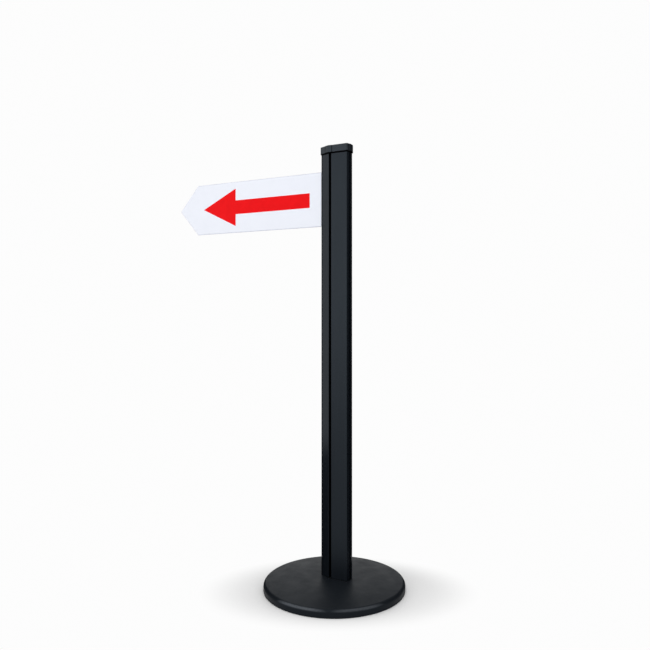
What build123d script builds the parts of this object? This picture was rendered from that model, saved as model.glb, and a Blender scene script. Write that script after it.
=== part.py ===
from build123d import *
import os

# Directional sign post: an arrow-shaped sign blade in the nose channel of a hollow post,
# which stands off centre on a round weighted base.
# Millimetres. The origin is at floor level on the axis of the base. +Z is up, the sign
# points along -X, and the side the sign is read from faces -Y.

# Overall
overall_height = 1000.0

# Base, from the floor up
base_radius = 160.0
cover_floor_gap = 1.0
cover_wall = 2.2
rim_height = 17.5
rim_radius = 8.0
crown_margin = 3.5
cover_play = 0.8
port_hole_play = 0.2
weight_floor_gap = 4.0

# Seal under the post's end
seal_thickness = 0.8
seal_inset = 0.3
seal_width = 2.6

# Floor ring
ring_inset = 13.0
ring_width = 9.0
ring_groove_depth = 2.5
ring_play = 0.1
ring_edge_radius = 1.0

# Centre bolt stack
bolt_floor_gap = 1.6
bolt_head_height = 6.4
bolt_head_flats = 16.0
bolt_radius = 5.0
bolt_tip_gap = 0.5
bolt_chamfer = 0.8
spring_washer_thickness = 2.2
spring_washer_radius = 9.0
spring_washer_split = 1.6
spring_washer_split_angle = 25.0
washer_thickness = 2.0
washer_radius = 15.0
recess_play = 2.5
web_thickness = 5.1
thread_play = 0.05
bolt_hole_play = 0.5

# Foot plate and its screws
foot_plate_thickness = 6.0
foot_plate_inset = 0.4
pocket_play = 0.6
port_screw_length = 22.0
port_screw_head_radius = 4.4
port_screw_head_depth = 2.6
port_screw_tip = 3.0
port_screw_tip_radius = 0.7
port_screw_drive_depth = 1.4
screw_drive_width = 1.0

# Cover screws
cover_screw_count = 4
cover_screw_inset = 48.0
cover_screw_start_angle = 45.0
cover_boss_radius = 5.5
cover_boss_play = 0.5
cover_boss_depth = 4.5
cover_screw_radius = 2.0
cover_screw_grip = 4.0
cover_screw_length = 10.0
cover_screw_head_radius = 4.0
cover_screw_head_height = 2.4
cover_screw_drive_depth = 1.2
cover_screw_play = 0.3
cover_screw_recess_play = 1.5
cover_screw_pilot_play = 0.5
cover_screw_head_edge = 0.8

# Post section
post_thickness = 27.0
nose_reach = 32.0
nose_width = 6.0
bend_reach = 8.0
tail_reach = 38.2
tail_bulge = 2.3
post_wall = 1.8
nose_corner_radius = 0.5
bend_corner_radius = 1.5
tail_corner_radius = 1.4

# Channels for fittings in the two flat sides and in the tail
groove_setback = 0.8
groove_mouth = 6.0
groove_cavity_width = 10.0
groove_cavity_depth = 4.5
groove_lip = 2.0
channel_wall = 1.6
mouth_edge_radius = 0.4

# Channel in the nose, which holds the sign
nose_lip = 6.6
blade_mouth_play = 0.6
blade_back_play = 0.5
rail_lip_play = 0.7
rail_side_play = 0.5

# Screw ports and webs inside the post
port_radius = 2.1
port_wall = 1.9
nose_port_gap = 0.8
tail_port_pitch = 13.0
tail_port_gap = 1.2
web = 1.8

# Cap
cap_top = 3.0
cap_skirt = 14.0
cap_wall = 1.75
cap_play = 0.25
cap_corner_radius = 3.0
cap_edge_radius = 0.8
cap_bend_radius = 4.0
cap_pad_rise = 0.9
cap_pad_nose_margin = 9.4
cap_pad_tail_margin = 2.0
cap_pad_margin = 4.5
cap_seam_width = 1.5
cap_seam_depth = 0.8
cap_leg_length = 12.0
cap_leg_wall = 1.6
cap_leg_play = 0.35
cap_leg_lead = 1.0
cap_leg_rib = 1.2

# Sign blade
blade_thickness = 3.0
blade_height = 124.0
blade_length = 424.3
blade_point = 55.5
blade_drop = 39.0
face_thickness = 0.2
face_border = 1.0
face_nose_gap = 1.6

# Rails and rivets along the hidden edge of the blade
rail_depth = 4.3
rail_thickness = 2.2
rail_end_gap = 2.0
rivet_count = 4
rivet_radius = 1.2
rivet_end_gap = 14.0
rivet_play = 0.02

# Stop under the blade
stop_height = 16.0
stop_play = 0.2
stop_lip_play = 0.15
stop_chamfer = 0.8
stop_screw_radius = 2.0
stop_screw_back_gap = 0.1
stop_screw_socket_flats = 2.0
stop_screw_socket_depth = 2.2

# Heights and places that follow from the sizes above
bolt_head_top = bolt_floor_gap + bolt_head_height
spring_washer_top = bolt_head_top + spring_washer_thickness
web_bottom = spring_washer_top + washer_thickness
web_top = web_bottom + web_thickness
cover_under = web_top + foot_plate_thickness
base_top = cover_under + cover_wall
post_bottom = base_top + seal_thickness
post_top = overall_height - cap_top
skirt_bottom = post_top - cap_skirt
blade_top = skirt_bottom - blade_drop
blade_bottom = blade_top - blade_height
blade_middle = blade_bottom + blade_height / 2

ring_outer_radius = base_radius - ring_inset
ring_inner_radius = ring_outer_radius - ring_width
ring_groove_top = weight_floor_gap + ring_groove_depth
cover_screw_circle_radius = base_radius - cover_screw_inset
boss_bottom = rim_height - cover_wall - cover_boss_depth
cover_screw_seat = boss_bottom - cover_screw_grip

half_post = post_thickness / 2
tail_face = tail_reach + tail_bulge
crown_radius = tail_face + crown_margin
groove_block = groove_lip + groove_cavity_depth + channel_wall
groove_block_width = groove_cavity_width + 2 * channel_wall
groove_x = -bend_reach + groove_setback + groove_mouth / 2
nose_mouth = blade_thickness + 2 * blade_mouth_play
nose_cavity_width = blade_thickness + 2 * rail_thickness + 2 * rail_side_play
nose_cavity_depth = rail_lip_play + rail_depth + blade_back_play
nose_block = nose_lip + nose_cavity_depth + channel_wall
cavity_front_x = -nose_reach + nose_lip
cavity_back_x = cavity_front_x + nose_cavity_depth
port_outer_radius = port_radius + port_wall
nose_port_x = -nose_reach + nose_block + nose_port_gap + port_radius
tail_port_x = tail_face - groove_block - tail_port_gap - port_radius
port_places = [nose_port_x, tail_port_x - tail_port_pitch, tail_port_x]

blade_back_x = cavity_back_x - blade_back_play
blade_tip_x = blade_back_x - blade_length
blade_shoulder_x = blade_tip_x + blade_point
rail_x = blade_back_x - rail_depth / 2
rivet_reach = blade_thickness / 2 + rail_thickness
rivet_span = blade_height - 2 * rivet_end_gap
rivet_heights = [blade_bottom + rivet_end_gap + i * rivet_span / (rivet_count - 1)
                 for i in range(rivet_count)]
stop_middle = blade_bottom - stop_height / 2


def disc(radius, low, high):
    """A round solid on the Z axis between two heights."""
    return extrude(Pos(0, 0, low) * Circle(radius), high - low)


def post_outline():
    """The post's outside: two flats, two nose flanks, a narrow nose face and a bowed tail."""
    tail_top = (tail_reach, half_post)
    tail_low = (tail_reach, -half_post)
    sides = Polyline(
        tail_top,
        (-bend_reach, half_post),
        (-nose_reach, nose_width / 2),
        (-nose_reach, -nose_width / 2),
        (-bend_reach, -half_post),
        tail_low,
    )
    bow = ThreePointArc(tail_low, (tail_face, 0), tail_top)
    return make_face(sides + bow)


def rounded(outline, nose_radius, bend_radius, tail_radius):
    """Rounds the six corners of a post outline, from the tail to the nose."""
    outline = fillet(outline.vertices().sort_by(Axis.X)[-2:], tail_radius)
    outline = fillet(outline.vertices().sort_by(Axis.X)[2:4], bend_radius)
    return fillet(outline.vertices().sort_by(Axis.X)[0:2], nose_radius)


def post_face(grow=0.0):
    """The rounded post outline, grown or shrunk by one amount all round."""
    face = rounded(post_outline(), nose_corner_radius, bend_corner_radius, tail_corner_radius)
    if grow == 0.0:
        return face
    return offset(face, grow, kind=Kind.ARC)


def channel(mouth, cavity_width, cavity_depth, lip):
    """The open T shape of a channel, opening along +Y at Y = 0, with room outside its mouth."""
    neck = Pos(0, -lip) * Rectangle(mouth, 3 * lip, align=(Align.CENTER, Align.MIN))
    cavity = Pos(0, -lip) * Rectangle(cavity_width, cavity_depth, align=(Align.CENTER, Align.MAX))
    return neck + cavity


def channel_frame(cavity_width, depth):
    """The solid block round a channel, below Y = 0."""
    return Rectangle(cavity_width + 2 * channel_wall, depth, align=(Align.CENTER, Align.MAX))


def groove_sites():
    """Where the three fitting channels open: the front flat, the rear flat and the tail."""
    front = Pos(groove_x, -half_post) * Rot(0, 0, 180)
    rear = Pos(groove_x, half_post)
    tail = Pos(tail_face, 0) * Rot(0, 0, -90)
    return [front, rear, tail]


def post_section():
    """The extruded section: skin, four channels, a centre web, cross webs and screw ports."""
    skin = post_face() - post_face(-post_wall)
    groove = channel(groove_mouth, groove_cavity_width, groove_cavity_depth, groove_lip)
    nose_site = Pos(-nose_reach, 0) * Rot(0, 0, 90)
    frames = nose_site * channel_frame(nose_cavity_width, nose_block)
    for site in groove_sites():
        frames += site * channel_frame(groove_cavity_width, groove_block)
    centre_length = nose_reach - nose_block + tail_face - groove_block
    centre = Pos(-nose_reach + nose_block, 0) * Rectangle(
        centre_length, web, align=(Align.MIN, Align.CENTER))
    cross = Pos(groove_x, 0) * Rectangle(web, post_thickness - 2 * groove_block)
    inside = frames + centre + cross
    for x in port_places:
        inside += Pos(x, 0) * Circle(port_outer_radius)
    section = skin + (inside & post_face())
    for site in groove_sites():
        section -= site * groove
    section -= nose_site * channel(nose_mouth, nose_cavity_width, nose_cavity_depth, nose_lip)
    for x in port_places:
        section -= Pos(x, 0) * Circle(port_radius)
    for site in groove_sites():
        section = eased_mouth(section, site, groove_mouth)
    return eased_mouth(section, nose_site, nose_mouth)


def eased_mouth(section, site, mouth):
    """Rounds the two outer edges of a channel's mouth."""
    reach = mouth / 2 + mouth_edge_radius
    near = [v for v in section.vertices() if (v.center() - site.position).length < reach]
    return fillet(near, mouth_edge_radius)


def post_extrusion():
    """The hollow post, from its foot seal to the underside of the cap."""
    return extrude(Pos(0, 0, post_bottom) * post_section(), post_top - post_bottom)


def base_solid(inset, bottom):
    """The turned form of the base, a given depth inside its outer surface."""
    edge = base_radius - inset
    rim = rim_height - inset
    crown = base_top - inset
    wall = Polyline((0, crown), (0, bottom), (edge, bottom), (edge, rim))
    bow = TangentArc((crown_radius, crown), (edge, rim), tangent=(1, 0))
    top = Line((crown_radius, crown), (0, crown))
    profile = make_face(wall + bow + top)
    corner = profile.vertices().sort_by_distance((edge, rim))[0]
    profile = fillet(corner, rim_radius - inset)
    return revolve(Plane.XZ * profile, Axis.Z)


def cover_screw_places():
    """The plan places of the cover's screws."""
    return PolarLocations(
        cover_screw_circle_radius, cover_screw_count, start_angle=cover_screw_start_angle)


def base_cover():
    """The black cover, clamped between foot plate and post: a thin dished shell with screw bosses."""
    shell = base_solid(0, cover_floor_gap) - base_solid(cover_wall, 0)
    room = base_solid(cover_wall / 2, 0)
    pilot_top = cover_screw_seat + cover_screw_length + cover_screw_pilot_play
    for place in cover_screw_places():
        shell += (place * disc(cover_boss_radius, boss_bottom, base_top)) & room
        shell -= place * disc(cover_screw_radius + thread_play, boss_bottom, pilot_top)
    for x in port_places:
        shell -= Pos(x, 0) * disc(port_radius + port_hole_play, 0, 2 * base_top)
    return shell


def foot_seal():
    """The rubber gasket between the post's end and the cover, along the post's skin."""
    plan = post_face(-seal_inset) - post_face(-seal_inset - seal_width)
    return extrude(Pos(0, 0, base_top) * plan, seal_thickness)


def base_weight():
    """The cast weight, with a pocket for the foot plate and recesses for every fastener."""
    weight = base_solid(cover_wall + cover_play, weight_floor_gap)
    weight -= extrude(Pos(0, 0, web_top) * post_face(pocket_play - foot_plate_inset), base_top)
    weight -= disc(washer_radius + recess_play, 0, web_bottom)
    weight -= disc(bolt_radius + bolt_hole_play, 0, base_top)
    groove = disc(ring_outer_radius + ring_play, 0, ring_groove_top)
    weight -= groove - disc(ring_inner_radius - ring_play, 0, ring_groove_top)
    for place in cover_screw_places():
        weight -= place * disc(cover_boss_radius + cover_boss_play, boss_bottom, base_top)
        weight -= place * disc(cover_screw_radius + cover_screw_play, 0, base_top)
        weight -= place * disc(cover_screw_head_radius + cover_screw_recess_play, 0, cover_screw_seat)
    return weight


def floor_ring():
    """The rubber ring that the whole stand rests on."""
    ring = disc(ring_outer_radius, 0, ring_groove_top) - disc(ring_inner_radius, 0, ring_groove_top)
    return fillet(ring.edges().group_by(Axis.Z)[0], ring_edge_radius)


def centre_bolt():
    """The bolt that pulls the foot plate, with the post on it, down on the weight."""
    head = extrude(Pos(0, 0, bolt_floor_gap) * RegularPolygon(
        bolt_head_flats / 2, 6, major_radius=False), bolt_head_height)
    shank = disc(bolt_radius - thread_play, bolt_floor_gap, cover_under - bolt_tip_gap)
    tip = shank.edges().sort_by(Axis.Z)[-1]
    return head + chamfer(tip, bolt_chamfer)


def spring_washer():
    """The split washer on the bolt's head."""
    ring = disc(spring_washer_radius, bolt_head_top, spring_washer_top)
    ring -= disc(bolt_radius + bolt_hole_play, 0, base_top)
    split = Pos(spring_washer_radius, 0, bolt_head_top) * Rot(spring_washer_split_angle, 0, 0) * Box(
        spring_washer_radius, spring_washer_split, 4 * spring_washer_thickness)
    return ring - split


def centre_washer():
    """The wide flat washer under the weight's web."""
    ring = disc(washer_radius, spring_washer_top, web_bottom)
    return ring - disc(bolt_radius + bolt_hole_play, 0, base_top)


def foot_plate():
    """The steel plate under the cover that the post is screwed to, threaded for the centre bolt."""
    plate = extrude(Pos(0, 0, web_top) * post_face(-foot_plate_inset), foot_plate_thickness)
    plate -= disc(bolt_radius, 0, base_top)
    for x in port_places:
        plate -= Pos(x, 0, 0) * disc(port_radius + thread_play, 0, base_top)
        plate -= Pos(x, 0, web_top) * screw_head(thread_play)
    return plate


def upright_cone(low_radius, high_radius, low, high):
    """A cone on the Z axis between two heights."""
    return Pos(0, 0, low) * Cone(
        low_radius, high_radius, high - low, align=(Align.CENTER, Align.CENTER, Align.MIN))


def screw_head(play):
    """A countersunk head that stands on its wide end at Z = 0."""
    flare = port_screw_head_radius - port_radius
    rim = port_screw_head_depth - flare
    wide = port_screw_head_radius + play
    return disc(wide, 0, rim) + upright_cone(wide, port_radius + play, rim, port_screw_head_depth)


def cross_drive(width, reach, depth):
    """A cross recess that starts at Z = 0 and goes up."""
    bar = Box(reach, width, 2 * depth)
    return bar + Rot(0, 0, 90) * bar


def foot_plate_screws():
    """The countersunk screws through foot plate and cover into the post's screw ports."""
    shank_radius = port_radius - thread_play
    shank_end = port_screw_length - port_screw_tip
    screw = screw_head(0.0) + disc(shank_radius, 0, shank_end)
    screw += upright_cone(shank_radius, port_screw_tip_radius, shank_end, port_screw_length)
    screw -= cross_drive(screw_drive_width, port_screw_head_radius, port_screw_drive_depth)
    return Compound(children=[Pos(x, 0, web_top) * screw for x in port_places])


def cover_screws():
    """The screws that pull the cover down on the weight, driven from below."""
    screw = disc(cover_screw_head_radius, 0, cover_screw_head_height)
    screw = fillet(screw.edges().sort_by(Axis.Z)[0], cover_screw_head_edge)
    screw += disc(cover_screw_radius, 0, cover_screw_head_height + cover_screw_length)
    screw -= cross_drive(screw_drive_width, cover_screw_head_radius, cover_screw_drive_depth)
    head_bottom = cover_screw_seat - cover_screw_head_height
    screw = Pos(0, 0, head_bottom) * screw
    return Compound(children=[place * screw for place in cover_screw_places()])


def cap_outline(grow):
    """The cap's outside, parallel to the post's, with its own softer corners."""
    outline = offset(post_outline(), cap_play + cap_wall + grow, kind=Kind.INTERSECTION)
    return rounded(outline, cap_corner_radius, cap_bend_radius, cap_corner_radius)


def cap_bands():
    """Plan strips over the parts of the cap that bridge the post's channels."""
    low = groove_x - groove_mouth / 2 - cap_pad_nose_margin
    high = groove_x + groove_mouth / 2 + cap_pad_tail_margin
    height = 2 * post_thickness
    sides = Pos((low + high) / 2, 0) * Rectangle(high - low, height)
    tail_width = groove_mouth + 2 * cap_pad_margin
    tail = Rectangle(2 * tail_face, tail_width, align=(Align.MIN, Align.CENTER))
    return [sides, tail]


def cap_pads():
    """Plan of the raised pads that bridge the post's channels."""
    sides, tail = cap_bands()
    return cap_outline(cap_pad_rise) & (sides + tail)


def cap_seams():
    """Plan of the shallow relief lines beside each pad of the cap."""
    edge_ring = cap_outline(2 * cap_pad_rise) - cap_outline(-cap_seam_depth)
    seams = Sketch()
    for band in cap_bands():
        wide = offset(band, cap_seam_width, kind=Kind.INTERSECTION)
        seams += edge_ring & (wide - band)
    return seams


def cap_leg():
    """A plug leg of the cap: three walls that slide into the chamber beside the centre web."""
    front_x = groove_x + groove_block_width / 2 + cap_leg_play
    back_x = tail_face - groove_block - cap_leg_play
    low_y = port_outer_radius + cap_leg_play
    high_y = half_post - post_wall - cap_leg_play
    width = back_x - front_x
    depth = high_y - low_y
    corner = Pos(front_x, low_y)
    outer = corner * Rectangle(width, depth, align=(Align.MIN, Align.MIN))
    inner = corner * Pos(cap_leg_wall, -cap_leg_wall) * Rectangle(
        width - 2 * cap_leg_wall, depth, align=(Align.MIN, Align.MIN))
    rib = corner * Pos(width / 2, 0) * Rectangle(cap_leg_rib, depth, align=(Align.CENTER, Align.MIN))
    plan = (outer - inner) + rib
    leg = extrude(Pos(0, 0, post_top - cap_leg_length) * plan, cap_leg_length + cap_top / 2)
    low_edges = leg.edges().group_by(Axis.Z)[0].filter_by(GeomType.LINE).sort_by(Axis.Y)[-1]
    return chamfer(low_edges, cap_leg_lead)


def top_cap():
    """The moulded cap: a top, a skirt over the post, pads over the channels and two plug legs."""
    cap_height = cap_skirt + cap_top
    body = extrude(Pos(0, 0, skirt_bottom) * (cap_outline(0) + cap_pads()), cap_height)
    body = fillet(body.faces().sort_by(Axis.Z)[-1].edges(), cap_edge_radius)
    body -= extrude(Pos(0, 0, skirt_bottom) * cap_seams(), cap_height)
    body -= extrude(Pos(0, 0, skirt_bottom) * post_face(cap_play), cap_skirt)
    leg = cap_leg()
    return body + leg + mirror(leg, Plane.XZ)


def blade_profile(border, start_x):
    """The arrow outline of the sign, inset by a border, from its straight end to its tip."""
    half = blade_height / 2 - border
    slope = blade_point / (blade_height / 2)
    shoulder = blade_shoulder_x
    tip = shoulder - half * slope
    return make_face(Polyline(
        (start_x, half), (shoulder, half), (tip, 0), (shoulder, -half), (start_x, -half), close=True))


def blade_layer(profile, low_y, high_y):
    """A flat layer of the sign between two Y values."""
    plane = Plane(origin=(0, low_y, blade_middle), x_dir=(1, 0, 0), z_dir=(0, 1, 0))
    flipped = mirror(profile, Plane.XZ)
    return extrude(plane * flipped, high_y - low_y)


def rivet_holes(radius):
    """Through holes along the hidden edge of the blade."""
    holes = Part()
    for z in rivet_heights:
        holes += Pos(rail_x, 0, z) * Rot(90, 0, 0) * Cylinder(radius, 4 * rivet_reach)
    return holes


def sign_blade():
    """The rigid arrow-shaped board."""
    board = blade_layer(blade_profile(0, blade_back_x), -blade_thickness / 2, blade_thickness / 2)
    return board - rivet_holes(rivet_radius + rivet_play)


def sign_face(side):
    """The thin printed face on one side of the board, which stops short of the post."""
    profile = blade_profile(face_border, -nose_reach - face_nose_gap)
    near = side * blade_thickness / 2
    far = side * (blade_thickness / 2 + face_thickness)
    return blade_layer(profile, min(near, far), max(near, far))


def blade_rail(side):
    """The strip riveted to one side of the board, which the channel's lips hold in."""
    length = blade_height - 2 * rail_end_gap
    centre_y = side * (blade_thickness + rail_thickness) / 2
    bar = Pos(rail_x, centre_y, blade_middle) * Box(rail_depth, rail_thickness, length)
    return bar - rivet_holes(rivet_radius + rivet_play)


def rail_rivets():
    """The rivets through both rails and the board, flush at both ends."""
    rivet = Rot(90, 0, 0) * Cylinder(rivet_radius, 2 * rivet_reach)
    return Compound(children=[Pos(rail_x, 0, z) * rivet for z in rivet_heights])


def blade_stop():
    """The block in the nose channel that the sign rests on."""
    width = nose_cavity_width - 2 * stop_play
    depth = nose_cavity_depth - stop_lip_play - stop_play
    x = cavity_front_x + stop_lip_play + depth / 2
    block = Pos(x, 0, stop_middle) * Box(depth, width, stop_height)
    block = chamfer(block.edges().filter_by(Axis.X), stop_chamfer)
    hole = Pos(x, 0, stop_middle) * Rot(0, 90, 0) * Cylinder(stop_screw_radius, 2 * depth)
    return block - hole


def stop_screw():
    """The set screw that locks the stop against the back of the channel."""
    front_x = cavity_front_x + 2 * stop_lip_play
    length = cavity_back_x - stop_screw_back_gap - front_x
    turn = Pos(front_x, 0, stop_middle) * Rot(0, 90, 0)
    screw = disc(stop_screw_radius - thread_play, 0, length)
    hexagon = RegularPolygon(stop_screw_socket_flats / 2, 6, major_radius=False)
    return turn * (screw - extrude(hexagon, stop_screw_socket_depth))


pieces = {
    "base_weight": base_weight(),
    "base_cover": base_cover(),
    "floor_ring": floor_ring(),
    "centre_bolt": centre_bolt(),
    "spring_washer": spring_washer(),
    "centre_washer": centre_washer(),
    "foot_plate": foot_plate(),
    "foot_plate_screws": foot_plate_screws(),
    "foot_seal": foot_seal(),
    "cover_screws": cover_screws(),
    "post_extrusion": post_extrusion(),
    "top_cap": top_cap(),
    "sign_blade": sign_blade(),
    "sign_face_front": sign_face(-1),
    "sign_face_rear": sign_face(1),
    "blade_rail_front": blade_rail(-1),
    "blade_rail_rear": blade_rail(1),
    "rail_rivets": rail_rivets(),
    "blade_stop": blade_stop(),
    "stop_screw": stop_screw(),
}

os.makedirs("parts", exist_ok=True)
for node, shape in pieces.items():
    export_step(shape, f"parts/{node}.step")
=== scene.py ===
import math

import bmesh
import bpy
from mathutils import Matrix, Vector


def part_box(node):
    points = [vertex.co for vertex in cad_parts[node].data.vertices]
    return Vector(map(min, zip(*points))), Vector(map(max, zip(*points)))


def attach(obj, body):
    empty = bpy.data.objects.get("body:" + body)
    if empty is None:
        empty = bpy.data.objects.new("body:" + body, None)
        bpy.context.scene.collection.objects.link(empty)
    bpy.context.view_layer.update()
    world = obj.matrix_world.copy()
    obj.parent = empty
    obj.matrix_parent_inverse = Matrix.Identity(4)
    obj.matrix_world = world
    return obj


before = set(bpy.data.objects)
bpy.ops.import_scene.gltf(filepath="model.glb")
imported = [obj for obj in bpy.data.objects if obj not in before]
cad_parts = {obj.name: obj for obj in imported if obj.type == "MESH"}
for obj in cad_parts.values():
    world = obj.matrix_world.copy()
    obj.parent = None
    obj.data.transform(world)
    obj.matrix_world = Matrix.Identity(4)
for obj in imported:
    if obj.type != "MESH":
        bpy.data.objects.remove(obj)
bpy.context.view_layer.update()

# Camera, in metres and degrees. The focal length and the view's centre are in pixels of a frame
# PHOTO_WIDTH wide, and the sensor's width is in millimetres
PHOTO_WIDTH = 650
CAMERA_AZIMUTH = 28.0
CAMERA_DISTANCE = 1.547
CAMERA_HEIGHT = 0.618
FOCAL_PIXELS = 683.0
CENTRE_X = 334.42
CENTRE_Y = 315.0
SENSOR_WIDTH = 36.0
CLIP_NEAR = 0.05
CLIP_FAR = 200.0

# Floor and light. A lamp has its azimuth, distance, height, width, tallness and brightness
FLOOR_SIZE = 60.0
LIGHT_TARGET = (0.0, 0.0, 0.5)
WHITE = 0.98
AMBIENT = 0.40
LEFT_LAMP = (-36.0, 3.2, 1.15, 3.6, 2.0, 1.55)
RIGHT_LAMP = (78.0, 2.6, 1.10, 1.6, 1.6, 1.5)
TOP_LAMP = (0.0, 0.0, 2.6, 2.0, 2.0, 0.6)
FRONT_LAMP = (28.0, 1.3, 2.60, 2.2, 0.12, 22.0)
REAR_LAMP = (196.0, 3.0, 1.15, 3.0, 1.8, 1.3)

# Ellipse of floor that keeps the stand's shadow: the azimuth of its long axis, the shifts of its
# centre along and across that axis, its squeeze across it, and the radii where its fade starts and ends
SHADOW_AZIMUTH = 118.0
SHADOW_SHIFTS = (0.010, -0.010)
SHADOW_SQUEEZE = 1.5
SHADOW_FADE = (0.19, 0.32)

# Dark cards, which show only in gloss. Each has its azimuth, distance, width, height, and the length
# of its apron, the part that lies along the floor in front of it
REAR_CARD = (140.0, 1.20, 2.40, 1.90, 1.00)
FLANK_CARD = (-73.0, 0.26, 0.30, 0.27, 0.08)
CARD_LIFT = 0.001

# Colours, in linear red, green and blue. A pair is the two that a material's grain lies between
POST_BLACKS = ((0.0030, 0.0042, 0.0062), (0.0052, 0.0070, 0.0100))
COVER_BLACKS = ((0.0050, 0.0064, 0.0084), (0.0090, 0.0110, 0.0140))
CAP_BLACKS = ((0.0090, 0.0107, 0.0135), (0.0140, 0.0162, 0.0195))
STOP_BLACKS = ((0.0100, 0.0103, 0.0120), (0.0170, 0.0175, 0.0190))
RUBBER_BLACKS = ((0.0030, 0.0030, 0.0034), (0.0085, 0.0085, 0.0092))
PAINT_BLACKS = ((0.022, 0.022, 0.024), (0.048, 0.048, 0.051))
ZINC_GREYS = ((0.50, 0.52, 0.56), (0.68, 0.69, 0.71))
ALUMINIUM_GREYS = ((0.60, 0.61, 0.63), (0.74, 0.75, 0.76))
BOARD_WHITES = ((0.56, 0.58, 0.68), (0.62, 0.64, 0.74))
FILM_WHITES = ((0.845, 0.872, 0.948), (0.865, 0.892, 0.965))
FLOOR_WHITES = ((0.925, 0.925, 0.925), (0.935, 0.935, 0.935))
INK_REDS = ((0.80, 0.0020, 0.0045), (0.88, 0.0030, 0.0060))
POST_DUST = (0.030, 0.032, 0.036)
MOULDED_DUST = (0.035, 0.036, 0.040)
RUST = (0.12, 0.055, 0.028)
DULL_ZINC = (0.42, 0.41, 0.40)

# Cool tint of the gloss on the black pieces, and the black, glossless painted shade in the post's
# channels and along the cap's lower edge
BLUISH = (0.72, 0.86, 1.0)
NO_GLOSS = (0.0, 0.0, 0.0)
PAINTED_SHADE_BLACK = (0.0012, 0.0014, 0.0018)
PAINTED_SHADE_ROUGHNESS = 0.95

# The painted highlight on the base's rounded rim, a band given by the radii where it starts, is full,
# fades and ends. It has two patches, each with its azimuth and strength. Towards that azimuth, a patch
# starts at the first of the reach distances below and is full at the second
RIM_HIGHLIGHT_BAND = (0.1546, 0.1566, 0.1588, 0.1598)
RIM_HIGHLIGHT_GREY = (0.078, 0.085, 0.096)
RIM_HIGHLIGHT_PATCHES = ((0.0, 1.0), (47.0, 0.6))
RIM_HIGHLIGHT_REACH = (0.1468, 0.1550)

# The painted shadow line along the cap's lower edge, by the heights where it starts, is full, fades and
# ends
PAINTED_SHADOW_LINE = (0.9809, 0.9815, 0.9843, 0.9850)

# Boxes inside the post that hold its channels, where black, glossless shade is painted, by their lowest
# and highest corners
CHANNELS = ((-0.0095, -0.0128, 0.0), (0.0378, 0.0128, 1.0))
NOSE_CHANNEL = ((-0.0313, -0.0043, 0.0), (-0.0095, 0.0043, 1.0))

# Generic arrow printed on both faces of the sign. The sign's straight part starts SHOULDER_FROM_TIP
# behind its tip. The arrow keeps one margin from that line and another from the face's end at the post
SHOULDER_FROM_TIP = 0.0555
ARROW_TIP_MARGIN = 0.018
ARROW_POST_MARGIN = 0.030
ARROW_HEAD_LENGTH = 0.098
ARROW_HEAD_HEIGHT = 0.092
ARROW_SHAFT_HEIGHT = 0.034
ARROW_THICKNESS = 0.00004
ARROW_CORNER_RADIUS = 0.0012
ARROW_CORNER_SEGMENTS = 5
ARROW_CORNER_PROFILE = 0.5

# Range that most noise keeps to
NOISE_LOW = 0.3
NOISE_HIGH = 0.7

# Places of the colour sockets on the mix node, which has others of the same names
MIX_FIRST = 6
MIX_SECOND = 7
MIX_RESULT = 2


def around(azimuth, distance, height):
    """A place round the object's axis. Azimuth 0 is in front, at -Y, and 90 is at +X."""
    turned = math.radians(azimuth)
    return Vector((distance * math.sin(turned), -distance * math.cos(turned), height))


def put(name, data):
    """A new object in the scene, which holds a mesh, a lamp or a camera."""
    placed = bpy.data.objects.new(name, data)
    bpy.context.scene.collection.objects.link(placed)
    return placed


def seen_directly(tree):
    """1 for camera, glossy and transmission rays, and 0 for the rest."""
    path = tree.nodes.new("ShaderNodeLightPath")
    value = path.outputs["Is Camera Ray"]
    for other in ("Is Glossy Ray", "Is Transmission Ray"):
        either = tree.nodes.new("ShaderNodeMath")
        either.operation = "MAXIMUM"
        tree.links.new(value, either.inputs[0])
        tree.links.new(path.outputs[other], either.inputs[1])
        value = either.outputs[0]
    return value


def white_world():
    """White for the camera, gloss and glass, and a weaker white light for the rest."""
    world = bpy.data.worlds.new("studio")
    bpy.context.scene.world = world
    world.use_nodes = True
    tree = world.node_tree
    tree.nodes.clear()
    mix = tree.nodes.new("ShaderNodeMixShader")
    tree.links.new(seen_directly(tree), mix.inputs["Fac"])
    for socket, strength in zip(mix.inputs[1:], (AMBIENT, WHITE)):
        light = tree.nodes.new("ShaderNodeBackground")
        light.inputs["Color"].default_value = (1.0, 1.0, 1.0, 1.0)
        light.inputs["Strength"].default_value = strength
        tree.links.new(light.outputs[0], socket)
    output = tree.nodes.new("ShaderNodeOutputWorld")
    tree.links.new(mix.outputs[0], output.inputs["Surface"])


def softbox(name, azimuth, distance, height, width, tallness, brightness, in_gloss=True):
    """A rectangular area lamp that faces the object, and shows in its gloss or doesn't."""
    lamp = bpy.data.lights.new(name, "AREA")
    lamp.shape = "RECTANGLE"
    lamp.size = width
    lamp.size_y = tallness
    lamp.energy = brightness * math.pi * width * tallness
    place = around(azimuth, distance, height)
    placed = put(name, lamp)
    placed.location = place
    placed.rotation_euler = (Vector(LIGHT_TARGET) - place).to_track_quat("-Z", "Y").to_euler()
    placed.visible_glossy = in_gloss


def dark_card(name, azimuth, distance, width, height, apron):
    """A photographer's dark card, upright and facing the object's axis, with an apron in front."""
    half = width / 2
    rows = [(apron, 0), (0, 0), (0, height)]
    corners = [(side * half, y, z) for y, z in rows for side in (-1, 1)]
    mesh = bpy.data.meshes.new(name)
    mesh.from_pydata(corners, [], [(0, 1, 3, 2), (2, 3, 5, 4)])
    black = Finish(name, Specular_IOR_Level=0.0, Base_Color=(0.0, 0.0, 0.0, 1.0))
    mesh.materials.append(black.material)
    placed = put(name, mesh)
    placed.location = around(azimuth, distance, CARD_LIFT)
    placed.rotation_euler = (0, 0, math.radians(azimuth))
    placed.visible_camera = False
    placed.visible_diffuse = False
    placed.visible_shadow = False


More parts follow.
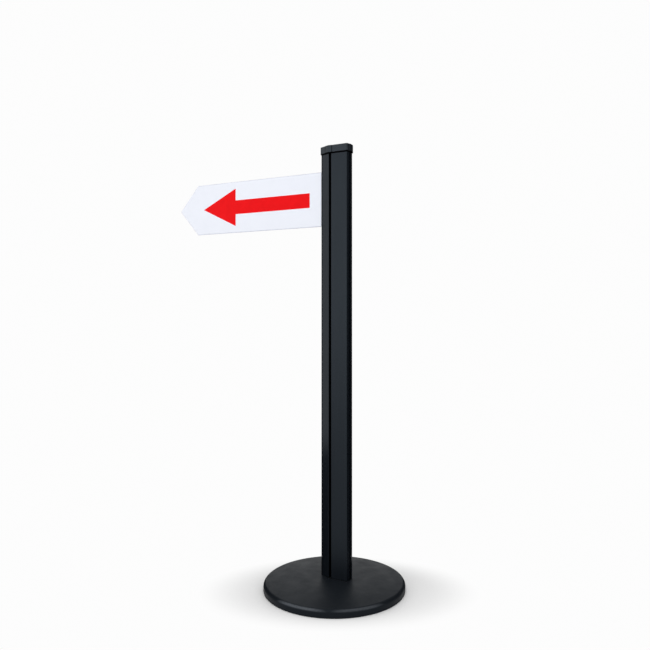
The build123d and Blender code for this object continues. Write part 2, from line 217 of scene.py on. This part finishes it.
def camera():
    """A level camera at the photo's angle, aimed at the base's axis."""
    data = bpy.data.cameras.new("camera")
    data.sensor_width = SENSOR_WIDTH
    data.lens = SENSOR_WIDTH * FOCAL_PIXELS / PHOTO_WIDTH
    data.shift_x = (PHOTO_WIDTH / 2 - CENTRE_X) / PHOTO_WIDTH
    data.shift_y = (CENTRE_Y - PHOTO_WIDTH / 2) / PHOTO_WIDTH
    data.clip_start = CLIP_NEAR
    data.clip_end = CLIP_FAR
    placed = put("camera", data)
    placed.location = around(CAMERA_AZIMUTH, CAMERA_DISTANCE, CAMERA_HEIGHT)
    placed.rotation_euler = (math.radians(90), 0, math.radians(CAMERA_AZIMUTH))
    bpy.context.scene.camera = placed


class Finish:
    """One procedural material, whose patterns lie in the piece's own coordinates, in metres."""

    def __init__(self, name, **constants):
        self.material = bpy.data.materials.new(name)
        self.material.use_nodes = True
        self.tree = self.material.node_tree
        self.shader = self.tree.nodes["Principled BSDF"]
        self.place = self.tree.nodes.new("ShaderNodeTexCoord").outputs["Object"]
        for socket, value in constants.items():
            self.shader.inputs[socket.replace("_", " ")].default_value = value

    def node(self, kind, **settings):
        """A new node with its settings."""
        made = self.tree.nodes.new(kind)
        for key, value in settings.items():
            setattr(made, key, value)
        return made

    def link(self, output, target):
        self.tree.links.new(output, target)

    def noise(self, size, detail=3.0, stretch=(1, 1, 1), offset=0.0, roughness=0.5):
        """Noise of a feature size in metres, stretched along the axes, from 0 to 1."""
        mapping = self.node("ShaderNodeMapping")
        mapping.inputs["Location"].default_value = (offset, offset, offset)
        mapping.inputs["Scale"].default_value = [1 / (size * times) for times in stretch]
        self.link(self.place, mapping.inputs["Vector"])
        made = self.node("ShaderNodeTexNoise")
        made.inputs["Scale"].default_value = 1.0
        made.inputs["Detail"].default_value = detail
        made.inputs["Roughness"].default_value = roughness
        self.link(mapping.outputs[0], made.inputs["Vector"])
        return made.outputs["Fac"]

    def level(self, value, low=NOISE_LOW, high=NOISE_HIGH, new_low=0.0, new_high=1.0):
        """A value moved from one range to another, and held there."""
        made = self.node("ShaderNodeMapRange")
        for socket, number in zip(("From Min", "From Max", "To Min", "To Max"),
                                  (low, high, new_low, new_high)):
            made.inputs[socket].default_value = number
        self.link(value, made.inputs["Value"])
        return made.outputs["Result"]

    def band(self, value, start, full, fade, end):
        """1 from full to fade, falling to 0 at start and at end."""
        return self.maths("MULTIPLY", self.level(value, start, full), self.level(value, end, fade))

    def maths(self, operation, first, second):
        """One step of arithmetic on two values or numbers."""
        made = self.node("ShaderNodeMath", operation=operation)
        for socket, value in zip(made.inputs, (first, second)):
            if isinstance(value, (int, float)):
                socket.default_value = value
            else:
                self.link(value, socket)
        return made.outputs[0]

    def blend(self, factor, first, second):
        """A colour between two, each a tuple or the output of another blend."""
        made = self.node("ShaderNodeMix", data_type="RGBA")
        self.link(factor, made.inputs["Factor"])
        for place, value in zip((MIX_FIRST, MIX_SECOND), (first, second)):
            if isinstance(value, tuple):
                made.inputs[place].default_value = (*value, 1.0)
            else:
                self.link(value, made.inputs[place])
        return made.outputs[MIX_RESULT]

    def along(self, axis):
        """The place along one axis, in metres."""
        made = self.node("ShaderNodeSeparateXYZ")
        self.link(self.place, made.inputs[0])
        return made.outputs[axis]

    def from_axis(self):
        """The distance from the base's axis."""
        flat = self.node("ShaderNodeVectorMath", operation="MULTIPLY")
        flat.inputs[1].default_value = (1.0, 1.0, 0.0)
        self.link(self.place, flat.inputs[0])
        length = self.node("ShaderNodeVectorMath", operation="LENGTH")
        self.link(flat.outputs[0], length.inputs[0])
        return length.outputs["Value"]

    def towards(self, azimuth):
        """How far a place lies from the base's axis in one direction, in metres."""
        made = self.node("ShaderNodeVectorMath", operation="DOT_PRODUCT")
        made.inputs[1].default_value = around(azimuth, 1.0, 0.0)
        self.link(self.place, made.inputs[0])
        return made.outputs["Value"]

    def within(self, low, high):
        """1 inside a box given by two corners in metres, and 0 outside it."""
        inside = 1.0
        for axis, least, most in zip("XYZ", low, high):
            place = self.along(axis)
            above = self.maths("GREATER_THAN", place, least)
            below = self.maths("LESS_THAN", place, most)
            inside = self.maths("MULTIPLY", inside, self.maths("MULTIPLY", above, below))
        return inside

    def color(self, output):
        self.link(output, self.shader.inputs["Base Color"])

    def roughness(self, output):
        self.link(output, self.shader.inputs["Roughness"])

    def gloss_tint(self, output):
        self.link(output, self.shader.inputs["Specular Tint"])

    def bump(self, output, depth, strength, before=None):
        """Relief of a depth in metres, after any bump given as before."""
        made = self.node("ShaderNodeBump")
        made.inputs["Strength"].default_value = strength
        made.inputs["Distance"].default_value = depth
        self.link(output, made.inputs["Height"])
        if before:
            self.link(before, made.inputs["Normal"])
        self.link(made.outputs[0], self.shader.inputs["Normal"])
        return made.outputs[0]


def post_coat():
    """Black satin coating on drawn aluminium: fine die lines, faint smears, and painted shade, black
    and glossless, in its deep channels and in a line just under the cap.
    """
    made = Finish("post_coat", Specular_IOR_Level=0.225)
    deep = made.maths("ADD", made.within(*CHANNELS), made.within(*NOSE_CHANNEL))
    # Painted shade: the deep channels and the line under the cap are coloured black and lose their
    # gloss
    dull = made.maths("MAXIMUM", deep, made.band(made.along("Z"), *PAINTED_SHADOW_LINE))
    lines = made.noise(0.0007, detail=2.0, stretch=(1, 1, 400), offset=3.1)
    smears = made.noise(0.05, detail=4.0, stretch=(1, 1, 3.5), offset=7.7, roughness=0.6)
    dust = made.noise(0.0011, detail=6.0, stretch=(1, 1, 2), offset=12.3, roughness=0.75)
    coat = made.blend(made.level(lines), *POST_BLACKS)
    outside = made.blend(made.level(dust, 0.66, 0.8, new_high=0.25), coat, POST_DUST)
    made.color(made.blend(dull, outside, PAINTED_SHADE_BLACK))
    made.gloss_tint(made.blend(dull, BLUISH, NO_GLOSS))
    rough = made.maths("ADD", made.level(lines, new_low=0.30, new_high=0.38),
                       made.level(smears, 0.3, 0.75, new_low=-0.03, new_high=0.07))
    made.roughness(made.maths("MAXIMUM", rough, made.maths("MULTIPLY", dull, PAINTED_SHADE_ROUGHNESS)))
    made.bump(lines, depth=0.00002, strength=0.5)
    return made.material


def moulded(name, blacks, grain, rough, depth, offset, gloss_level, rim_highlight=None, painted_shadow=None):
    """Black moulded plastic: spark-eroded grain, uneven gloss and dust, and if given a painted
    highlight on the rim or a painted shadow line. The offset gives each piece a pattern of its own."""
    made = Finish(name, Specular_IOR_Level=gloss_level, Specular_Tint=(*BLUISH, 1.0))
    pits = made.noise(grain, detail=4.0, offset=offset, roughness=0.65)
    gloss = made.noise(0.03, detail=4.0, offset=offset + 5.0, roughness=0.6)
    dust = made.noise(0.0016, detail=7.0, offset=offset + 9.0, roughness=0.8)
    base = made.blend(made.level(pits), *blacks)
    color = made.blend(made.level(dust, 0.64, 0.8, new_high=0.25), base, MOULDED_DUST)
    spread = 0.03
    texture = made.maths("ADD", made.level(pits, new_low=rough - spread, new_high=rough + spread),
                         made.level(gloss, 0.35, 0.7, new_low=-0.04, new_high=0.06))
    # Painted highlight: a lighter grey band on the rim's rounding, broken up by noise and strongest in
    # the patches towards the front
    if rim_highlight:
        highlight_breakup = made.level(made.noise(0.004, detail=5.0, offset=offset + 13.0), high=0.6, new_low=0.7)
        patches = 0.0
        for azimuth, strength in RIM_HIGHLIGHT_PATCHES:
            patch = made.level(made.towards(azimuth), *RIM_HIGHLIGHT_REACH, new_high=strength)
            patches = made.maths("ADD", patches, patch)
        highlight = made.maths("MULTIPLY", made.band(made.from_axis(), *rim_highlight), highlight_breakup)
        highlight = made.maths("MULTIPLY", highlight, patches)
        color = made.blend(highlight, color, RIM_HIGHLIGHT_GREY)
    # Painted shadow: a black, glossless line along the cap's lower edge
    if painted_shadow:
        line = made.band(made.along("Z"), *painted_shadow)
        color = made.blend(line, color, PAINTED_SHADE_BLACK)
        made.gloss_tint(made.blend(line, BLUISH, NO_GLOSS))
        texture = made.maths("MAXIMUM", texture, made.maths("MULTIPLY", line, PAINTED_SHADE_ROUGHNESS))
    made.color(color)
    made.roughness(texture)
    made.bump(pits, depth, strength=0.6)
    return made.material


def cover_plastic():
    """The base cover: the coarsest grain, a weak gloss, and grey patches of painted highlight on its
    rim.
    """
    return moulded("cover_plastic", COVER_BLACKS, grain=0.0007, rough=0.47, depth=0.00004, offset=1.0,
                   gloss_level=0.095, rim_highlight=RIM_HIGHLIGHT_BAND)


def cap_plastic():
    """The cap: the finest and smoothest grain, with a painted shadow line round its lower edge."""
    return moulded("cap_plastic", CAP_BLACKS, grain=0.0004, rough=0.36, depth=0.00003, offset=2.5,
                   gloss_level=0.27, painted_shadow=PAINTED_SHADOW_LINE)


def stop_plastic():
    """The stop: a fine, rough grain."""
    return moulded("stop_plastic", STOP_BLACKS, grain=0.0005, rough=0.5, depth=0.00003, offset=4.0,
                   gloss_level=0.15)


def black_rubber():
    """Matt rubber with a fine bloom."""
    made = Finish("black_rubber", Specular_IOR_Level=0.10)
    bloom = made.noise(0.004, detail=5.0, offset=2.0, roughness=0.7)
    pits = made.noise(0.0005, offset=4.0)
    made.color(made.blend(made.level(bloom, 0.4, 0.75), *RUBBER_BLACKS))
    made.roughness(made.level(bloom, new_low=0.7, new_high=0.86))
    made.bump(pits, depth=0.00006, strength=0.7)
    return made.material


def cast_iron():
    """Painted sand casting: coarse grain, and rust-brown points where the paint is thin."""
    made = Finish("cast_iron", Specular_IOR_Level=0.4)
    grain = made.noise(0.0016, detail=6.0, offset=1.0, roughness=0.7)
    lumps = made.noise(0.012, detail=4.0, offset=6.0, roughness=0.6)
    thin = made.noise(0.007, detail=7.0, offset=11.0, roughness=0.75)
    paint = made.blend(made.level(grain, 0.35, 0.7), *PAINT_BLACKS)
    made.color(made.blend(made.level(thin, 0.64, 0.74, new_high=0.55), paint, RUST))
    made.roughness(made.level(grain, new_low=0.55, new_high=0.8))
    coarse = made.bump(lumps, depth=0.0006, strength=0.6)
    made.bump(grain, depth=0.0003, strength=0.8, before=coarse)
    return made.material


def zinc_steel():
    """Bright zinc plate: fine scratches along Y, spangle and dull patches."""
    made = Finish("zinc_steel", Metallic=1.0)
    spangle = made.noise(0.0018, offset=8.0, roughness=0.6)
    dull = made.noise(0.006, detail=5.0, offset=3.0, roughness=0.7)
    scratches = made.noise(0.0002, detail=2.0, stretch=(1, 12, 1), offset=5.0)
    plate = made.blend(made.level(spangle), *ZINC_GREYS)
    made.color(made.blend(made.level(dull, 0.5, 0.8, new_high=0.5), plate, DULL_ZINC))
    made.roughness(made.level(dull, 0.3, 0.75, new_low=0.24, new_high=0.42))
    made.bump(scratches, depth=0.000015, strength=0.5)
    return made.material


def mill_aluminium():
    """Bare extruded aluminium with draw lines along the strip."""
    made = Finish("mill_aluminium", Metallic=1.0)
    lines = made.noise(0.0003, stretch=(1, 1, 150), offset=2.0)
    cloud = made.noise(0.01, detail=4.0, offset=6.0)
    made.color(made.blend(made.level(cloud, 0.3, 0.75), *ALUMINIUM_GREYS))
    made.roughness(made.level(lines, new_low=0.26, new_high=0.4))
    made.bump(lines, depth=0.00002, strength=0.6)
    return made.material


def board_plastic():
    """White rigid board: a matt sawn edge with the faint lines of its cut."""
    made = Finish("board_plastic", Specular_IOR_Level=0.4)
    cloud = made.noise(0.008, detail=4.0, offset=4.0)
    saw = made.noise(0.0008, stretch=(1, 40, 1), offset=9.0)
    made.color(made.blend(made.level(cloud, 0.3, 0.75), *BOARD_WHITES))
    made.roughness(made.level(saw, new_low=0.45, new_high=0.6))
    made.bump(saw, depth=0.00003, strength=0.5)
    return made.material


def print_film():
    """White satin film: a trace of orange peel and a slight mottle in its gloss."""
    made = Finish("print_film", Specular_IOR_Level=0.10)
    peel = made.noise(0.0022, detail=2.0, offset=5.0)
    mottle = made.noise(0.05, detail=4.0, offset=1.0, roughness=0.6)
    made.color(made.blend(made.level(mottle, 0.3, 0.75), *FILM_WHITES))
    made.roughness(made.level(mottle, 0.3, 0.75, new_low=0.34, new_high=0.44))
    made.bump(peel, depth=0.00002, strength=0.35)
    return made.material


def red_ink():
    """Screen-printed red: nearly even, with a fine grain and a hint of uneven cover."""
    made = Finish("red_ink", Specular_IOR_Level=0.06)
    grain = made.noise(0.0004, offset=7.0)
    cover = made.noise(0.02, detail=5.0, offset=2.0, roughness=0.65)
    made.color(made.blend(made.level(cover, 0.3, 0.75), *INK_REDS))
    made.roughness(made.level(grain, new_low=0.36, new_high=0.46))
    made.bump(grain, depth=0.000008, strength=0.4)
    return made.material


def wear(material, *names):
    """Gives CAD nodes one material."""
    for name in names:
        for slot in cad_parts[name].material_slots:
            slot.material = material


def shadow_distance(made):
    """The distance from the middle of the floor's shadow, which counts more across its long axis."""
    squares = 0.0
    for turn, shift, scale in zip((0.0, 90.0), SHADOW_SHIFTS, (1.0, SHADOW_SQUEEZE)):
        part = made.maths("SUBTRACT", made.towards(SHADOW_AZIMUTH + turn), shift)
        part = made.maths("MULTIPLY", part, scale)
        squares = made.maths("ADD", squares, made.maths("MULTIPLY", part, part))
    return made.maths("POWER", squares, 0.5)


def floor_white():
    """White floor, lit round the stand so that it keeps the shadow, and plain white further off."""
    made = Finish("floor_white", Specular_IOR_Level=0.0, Roughness=1.0)
    grain = made.noise(0.002, detail=2.0)
    made.color(made.blend(grain, *FLOOR_WHITES))
    far = made.node("ShaderNodeMapRange", interpolation_type="SMOOTHSTEP")
    for socket, distance in zip(("From Min", "From Max"), SHADOW_FADE):
        far.inputs[socket].default_value = distance
    made.link(shadow_distance(made), far.inputs["Value"])
    plain = made.node("ShaderNodeEmission")
    plain.inputs["Strength"].default_value = WHITE
    mix = made.node("ShaderNodeMixShader")
    plainness = made.maths("MULTIPLY", far.outputs["Result"], seen_directly(made.tree))
    made.link(plainness, mix.inputs["Fac"])
    made.link(made.shader.outputs[0], mix.inputs[1])
    made.link(plain.outputs[0], mix.inputs[2])
    made.link(mix.outputs[0], made.tree.nodes["Material Output"].inputs["Surface"])
    return made.material


def floor():
    """A flat floor under the stand."""
    half = FLOOR_SIZE / 2
    mesh = bpy.data.meshes.new("floor")
    mesh.from_pydata([(-half, -half, 0), (half, -half, 0), (half, half, 0), (-half, half, 0)],
                     [], [(0, 1, 2, 3)])
    placed = put("floor", mesh)
    mesh.materials.append(floor_white())


def arrow_outline(low, high):
    """The seven corners of a plain arrow that points along -X, between two corners of its box."""
    middle = (low.z + high.z) / 2
    head_x = low.x + ARROW_HEAD_LENGTH
    shaft = ARROW_SHAFT_HEIGHT / 2
    return [
        (low.x, middle),
        (head_x, low.z),
        (head_x, middle - shaft),
        (high.x, middle - shaft),
        (high.x, middle + shaft),
        (head_x, middle + shaft),
        (head_x, high.z),
    ]


def arrow_mesh(name, side, surface, outline):
    """A thin arrow with rounded corners, raised by its thickness from the surface it is printed on."""
    made = bmesh.new()
    face = made.faces.new([made.verts.new((x, surface, z)) for x, z in outline])
    raised = bmesh.ops.extrude_face_region(made, geom=[face])
    moved = [v for v in raised["geom"] if isinstance(v, bmesh.types.BMVert)]
    bmesh.ops.translate(made, verts=moved, vec=(0, side * ARROW_THICKNESS, 0))
    upright = [e for e in made.edges if abs(e.verts[0].co.y - e.verts[1].co.y) > ARROW_THICKNESS / 2]
    bmesh.ops.bevel(made, geom=upright, offset=ARROW_CORNER_RADIUS, segments=ARROW_CORNER_SEGMENTS,
                    profile=ARROW_CORNER_PROFILE, affect="EDGES")
    bmesh.ops.recalc_face_normals(made, faces=made.faces)
    mesh = bpy.data.meshes.new(name)
    made.to_mesh(mesh)
    made.free()
    return mesh


def printed_arrow(name, side, face_node, material):
    """A plain red arrow printed on one face of the sign. side is -1 in front and 1 behind."""
    low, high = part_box(face_node)
    surface = low.y if side < 0 else high.y
    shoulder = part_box("sign_blade")[0].x + SHOULDER_FROM_TIP
    middle = (low.z + high.z) / 2
    box_low = Vector((shoulder + ARROW_TIP_MARGIN, 0, middle - ARROW_HEAD_HEIGHT / 2))
    box_high = Vector((high.x - ARROW_POST_MARGIN, 0, middle + ARROW_HEAD_HEIGHT / 2))
    mesh = arrow_mesh(name, side, surface, arrow_outline(box_low, box_high))
    mesh.materials.append(material)
    placed = put(name, mesh)
    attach(placed, "sign")


bpy.context.scene.view_settings.view_transform = "Standard"
white_world()
softbox("left_lamp", *LEFT_LAMP)
softbox("right_lamp", *RIGHT_LAMP)
softbox("top_lamp", *TOP_LAMP)
softbox("front_lamp", *FRONT_LAMP)
softbox("rear_lamp", *REAR_LAMP, in_gloss=False)
dark_card("rear_card", *REAR_CARD)
dark_card("flank_card", *FLANK_CARD)
camera()
floor()

wear(post_coat(), "post_extrusion")
wear(cover_plastic(), "base_cover")
wear(cap_plastic(), "top_cap")
wear(stop_plastic(), "blade_stop")
wear(black_rubber(), "floor_ring", "foot_seal")
wear(cast_iron(), "base_weight")
wear(zinc_steel(), "centre_bolt", "spring_washer", "centre_washer", "foot_plate", "foot_plate_screws",
     "cover_screws", "stop_screw")
wear(mill_aluminium(), "blade_rail_front", "blade_rail_rear", "rail_rivets")
wear(board_plastic(), "sign_blade")
wear(print_film(), "sign_face_front", "sign_face_rear")
ink = red_ink()
printed_arrow("arrow_front", -1, "sign_face_front", ink)
printed_arrow("arrow_rear", 1, "sign_face_rear", ink)
